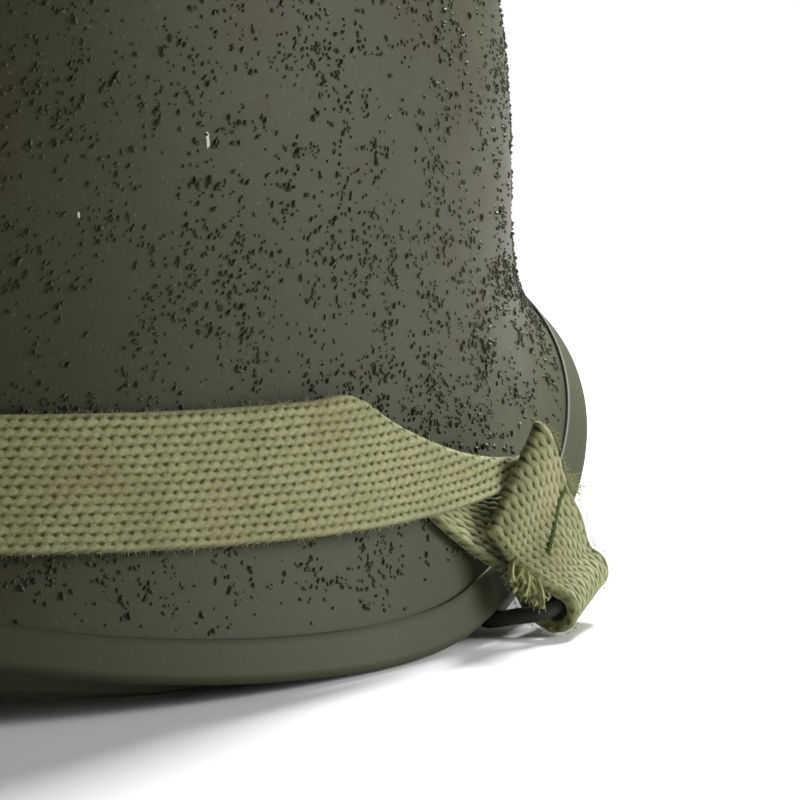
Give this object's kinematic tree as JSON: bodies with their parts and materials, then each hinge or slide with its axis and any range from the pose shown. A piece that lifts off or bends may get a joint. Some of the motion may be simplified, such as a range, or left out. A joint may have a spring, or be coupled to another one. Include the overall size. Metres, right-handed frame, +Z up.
{
  "type": "steel pot helmet",
  "caption": "Pressed steel pot helmet with rim strip, hinged strap loops, webbing chin strap hooked behind and a removable liner with sling suspension.",
  "frame": {"origin": "centre of the bounding box's foot, on the plane that the helmet rests on", "axes": "+Z up, -Y the way the visor looks, -X the wearer's right"},
  "size_m": [0.2582, 0.2794, 0.179],
  "materials": {
    "steel_paint": "matt olive drab paint with cork grit",
    "strip_paint": "matt olive drab paint",
    "bare_steel": "darkened steel, worn",
    "webbing": "khaki cotton webbing",
    "brass": "blackened brass",
    "liner_plastic": "olive moulded cloth laminate",
    "suspension_web": "olive herringbone webbing",
    "leather": "brown leather",
    "cord": "braided cotton lace",
    "rivet_steel": "painted steel"
  },
  "bodies": {
    "liner": {"liner_shell": "liner_plastic", "suspension_band": "suspension_web", "crown_straps": "suspension_web", "crown_lace": "cord", "a_washers": "rivet_steel", "suspension_rivets": "rivet_steel", "headband_webbing": "suspension_web", "headband_leather": "leather", "headband_clips": "brass", "nape_strap": "suspension_web", "nape_rivets": "rivet_steel", "liner_studs": "rivet_steel", "liner_eyelet": "brass"},
    "steel_pot": {"steel_shell": "steel_paint", "rim_strip": "strip_paint", "loop_plate_right": "strip_paint", "loop_plate_left": "strip_paint", "strap_turn_right": "webbing", "strap_turn_left": "webbing", "chinstrap_right": "webbing", "chinstrap_left": "webbing", "strap_buckle": "brass", "strap_hook": "brass", "strap_end_clip": "brass"},
    "loop_right": {"wire_loop_right": "bare_steel", "strap_end_right": "webbing"},
    "loop_left": {"wire_loop_left": "bare_steel", "strap_end_left": "webbing"}
  },
  "joints": [
    {"name": "pot_lift", "type": "slide", "parent": "liner", "child": "steel_pot", "axis": [0, 0, 1], "range_m": [0, 0.2]},
    {"name": "loop_right_hinge", "type": "hinge", "parent": "steel_pot", "child": "loop_right", "pos_m": [-0.11277, -0.02424, 0.00404], "axis": [-0.2114, 0.9564, -0.2014], "range_deg": [0, 5]},
    {"name": "loop_left_hinge", "type": "hinge", "parent": "steel_pot", "child": "loop_left", "pos_m": [0.11277, -0.02424, 0.00404], "axis": [-0.2114, -0.9564, 0.2014], "range_deg": [0, 5]}
  ]
}
